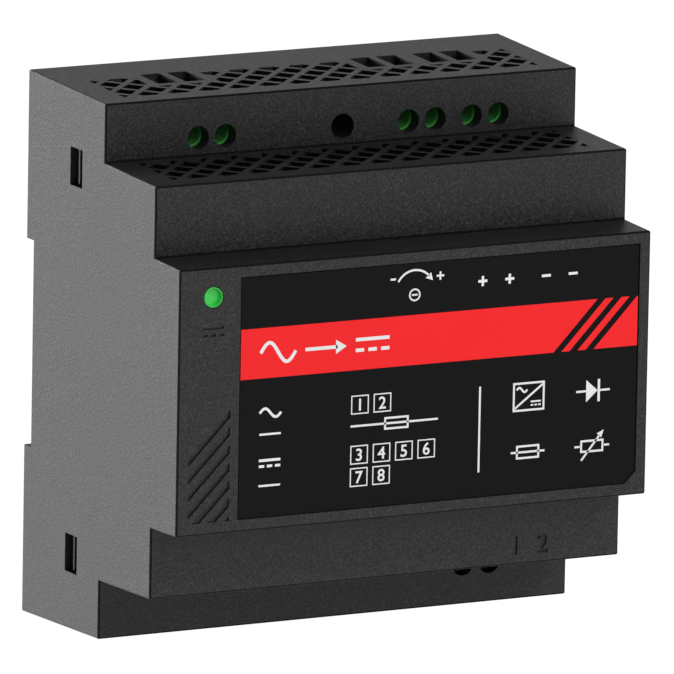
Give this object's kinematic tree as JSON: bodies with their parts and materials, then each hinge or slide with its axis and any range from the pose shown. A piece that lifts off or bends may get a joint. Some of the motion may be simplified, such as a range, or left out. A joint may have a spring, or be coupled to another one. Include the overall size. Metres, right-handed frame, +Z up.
{
  "type": "din rail power supply",
  "caption": "Stepped grey plastic power supply that clips on a 35 mm rail, with lattice vents, green screw terminals behind driver holes, a trimmer and a front label",
  "frame": {"origin": "middle of the rail seat, on the floor of the rail channel", "axes": "+X right seen from the front, +Y back towards the rail, +Z up"},
  "size_m": [0.0892, 0.0561, 0.096],
  "materials": {
    "case_plastic": "dark grey, spark-eroded moulding",
    "latch_plastic": "black moulding",
    "spring_steel": "drawn wire",
    "label_film": "printed film",
    "lamp_green": "clear green",
    "terminal_green": "green moulding",
    "plated_steel": "zinc plated",
    "tinned_brass": "tinned",
    "board_laminate": "laminate",
    "insulating_paper": "pressed sheet",
    "trimmer_blue": "blue moulding",
    "trimmer_white": "white moulding",
    "black_moulding": "black moulding",
    "ceramic": "dipped",
    "film_case": "yellow case",
    "ferrite": "sintered",
    "copper_wire": "enamelled",
    "winding_tape": "taped",
    "capacitor_sleeve": "shrunk sleeve",
    "heat_sink": "plain sheet"
  },
  "bodies": {
    "housing": {"front_shell": "case_plastic", "rear_base": "case_plastic", "latch_spring": "spring_steel", "front_label": "label_film", "led_light_guide": "lamp_green", "status_led": "lamp_green", "terminal_block_aux": "terminal_green", "terminal_block_plus": "terminal_green", "terminal_block_minus": "terminal_green", "terminal_block_input": "terminal_green", "contact_aux_1": "tinned_brass", "contact_aux_2": "tinned_brass", "contact_plus_1": "tinned_brass", "contact_plus_2": "tinned_brass", "contact_minus_1": "tinned_brass", "contact_minus_2": "tinned_brass", "contact_input_1": "tinned_brass", "contact_input_2": "tinned_brass", "main_board": "board_laminate", "insulating_sheet": "insulating_paper", "trimmer_body": "trimmer_blue", "line_fuse": "black_moulding", "bridge_rectifier": "black_moulding", "power_switch": "black_moulding", "output_rectifier": "black_moulding", "optocoupler": "black_moulding", "controller_chip": "black_moulding", "inrush_thermistor": "ceramic", "safety_capacitor": "ceramic", "line_capacitor": "film_case", "line_choke_core": "ferrite", "transformer_core": "ferrite", "output_choke": "ferrite", "line_choke_winding_a": "copper_wire", "line_choke_winding_b": "copper_wire", "transformer_bobbin": "winding_tape", "bulk_capacitor": "capacitor_sleeve", "output_capacitor_1": "capacitor_sleeve", "output_capacitor_2": "capacitor_sleeve", "primary_heat_sink": "heat_sink", "output_heat_sink": "heat_sink"},
    "latch": {"rail_latch": "latch_plastic"},
    "trimmer": {"trimmer_rotor": "trimmer_white"},
    "screw_aux_1": {"clamp_screw_aux_1": "plated_steel"},
    "cage_aux_1": {"clamp_cage_aux_1": "plated_steel"},
    "screw_aux_2": {"clamp_screw_aux_2": "plated_steel"},
    "cage_aux_2": {"clamp_cage_aux_2": "plated_steel"},
    "screw_plus_1": {"clamp_screw_plus_1": "plated_steel"},
    "cage_plus_1": {"clamp_cage_plus_1": "plated_steel"},
    "screw_plus_2": {"clamp_screw_plus_2": "plated_steel"},
    "cage_plus_2": {"clamp_cage_plus_2": "plated_steel"},
    "screw_minus_1": {"clamp_screw_minus_1": "plated_steel"},
    "cage_minus_1": {"clamp_cage_minus_1": "plated_steel"},
    "screw_minus_2": {"clamp_screw_minus_2": "plated_steel"},
    "cage_minus_2": {"clamp_cage_minus_2": "plated_steel"},
    "screw_input_1": {"clamp_screw_input_1": "plated_steel"},
    "cage_input_1": {"clamp_cage_input_1": "plated_steel"},
    "screw_input_2": {"clamp_screw_input_2": "plated_steel"},
    "cage_input_2": {"clamp_cage_input_2": "plated_steel"}
  },
  "joints": [
    {"name": "latch_slide", "type": "slide", "parent": "housing", "child": "latch", "axis": [0, 0, -1], "range_m": [0, 0.003], "stiffness_N_per_m": 600, "springref_m": -0.003, "deforming": ["latch_spring"]},
    {"name": "trimmer_turn", "type": "hinge", "parent": "housing", "child": "trimmer", "pos_m": [0, -0.0113, 0.0386], "axis": [0, 1, 0], "range_deg": [-135, 135]},
    {"name": "screw_aux_1_turn", "type": "hinge", "parent": "housing", "child": "screw_aux_1", "pos_m": [-0.02704, -0.016, 0.0386], "axis": [0, 1, 0], "range_deg": [0, 1440]},
    {"name": "cage_aux_1_lift", "type": "slide", "parent": "housing", "child": "cage_aux_1", "axis": [0, -1, 0], "range_m": [0, 0.002]},
    {"name": "screw_aux_2_turn", "type": "hinge", "parent": "housing", "child": "screw_aux_2", "pos_m": [-0.02196, -0.016, 0.0386], "axis": [0, 1, 0], "range_deg": [0, 1440]},
    {"name": "cage_aux_2_lift", "type": "slide", "parent": "housing", "child": "cage_aux_2", "axis": [0, -1, 0], "range_m": [0, 0.002]},
    {"name": "screw_plus_1_turn", "type": "hinge", "parent": "housing", "child": "screw_plus_1", "pos_m": [0.01246, -0.016, 0.0386], "axis": [0, 1, 0], "range_deg": [0, 1440]},
    {"name": "cage_plus_1_lift", "type": "slide", "parent": "housing", "child": "cage_plus_1", "axis": [0, -1, 0], "range_m": [0, 0.002]},
    {"name": "screw_plus_2_turn", "type": "hinge", "parent": "housing", "child": "screw_plus_2", "pos_m": [0.01754, -0.016, 0.0386], "axis": [0, 1, 0], "range_deg": [0, 1440]},
    {"name": "cage_plus_2_lift", "type": "slide", "parent": "housing", "child": "cage_plus_2", "axis": [0, -1, 0], "range_m": [0, 0.002]},
    {"name": "screw_minus_1_turn", "type": "hinge", "parent": "housing", "child": "screw_minus_1", "pos_m": [0.02446, -0.016, 0.0386], "axis": [0, 1, 0], "range_deg": [0, 1440]},
    {"name": "cage_minus_1_lift", "type": "slide", "parent": "housing", "child": "cage_minus_1", "axis": [0, -1, 0], "range_m": [0, 0.002]},
    {"name": "screw_minus_2_turn", "type": "hinge", "parent": "housing", "child": "screw_minus_2", "pos_m": [0.02954, -0.016, 0.0386], "axis": [0, 1, 0], "range_deg": [0, 1440]},
    {"name": "cage_minus_2_lift", "type": "slide", "parent": "housing", "child": "cage_minus_2", "axis": [0, -1, 0], "range_m": [0, 0.002]},
    {"name": "screw_input_1_turn", "type": "hinge", "parent": "housing", "child": "screw_input_1", "pos_m": [0.02446, -0.016, -0.0386], "axis": [0, 1, 0], "range_deg": [0, 1440]},
    {"name": "cage_input_1_lift", "type": "slide", "parent": "housing", "child": "cage_input_1", "axis": [0, -1, 0], "range_m": [0, 0.002]},
    {"name": "screw_input_2_turn", "type": "hinge", "parent": "housing", "child": "screw_input_2", "pos_m": [0.02954, -0.016, -0.0386], "axis": [0, 1, 0], "range_deg": [0, 1440]},
    {"name": "cage_input_2_lift", "type": "slide", "parent": "housing", "child": "cage_input_2", "axis": [0, -1, 0], "range_m": [0, 0.002]}
  ],
  "couplings": [
    {"joint": "screw_aux_1_turn", "follows": "cage_aux_1_lift", "rad_per_m": 12566},
    {"joint": "screw_aux_2_turn", "follows": "cage_aux_2_lift", "rad_per_m": 12566},
    {"joint": "screw_plus_1_turn", "follows": "cage_plus_1_lift", "rad_per_m": 12566},
    {"joint": "screw_plus_2_turn", "follows": "cage_plus_2_lift", "rad_per_m": 12566},
    {"joint": "screw_minus_1_turn", "follows": "cage_minus_1_lift", "rad_per_m": 12566},
    {"joint": "screw_minus_2_turn", "follows": "cage_minus_2_lift", "rad_per_m": 12566},
    {"joint": "screw_input_1_turn", "follows": "cage_input_1_lift", "rad_per_m": 12566},
    {"joint": "screw_input_2_turn", "follows": "cage_input_2_lift", "rad_per_m": 12566}
  ]
}
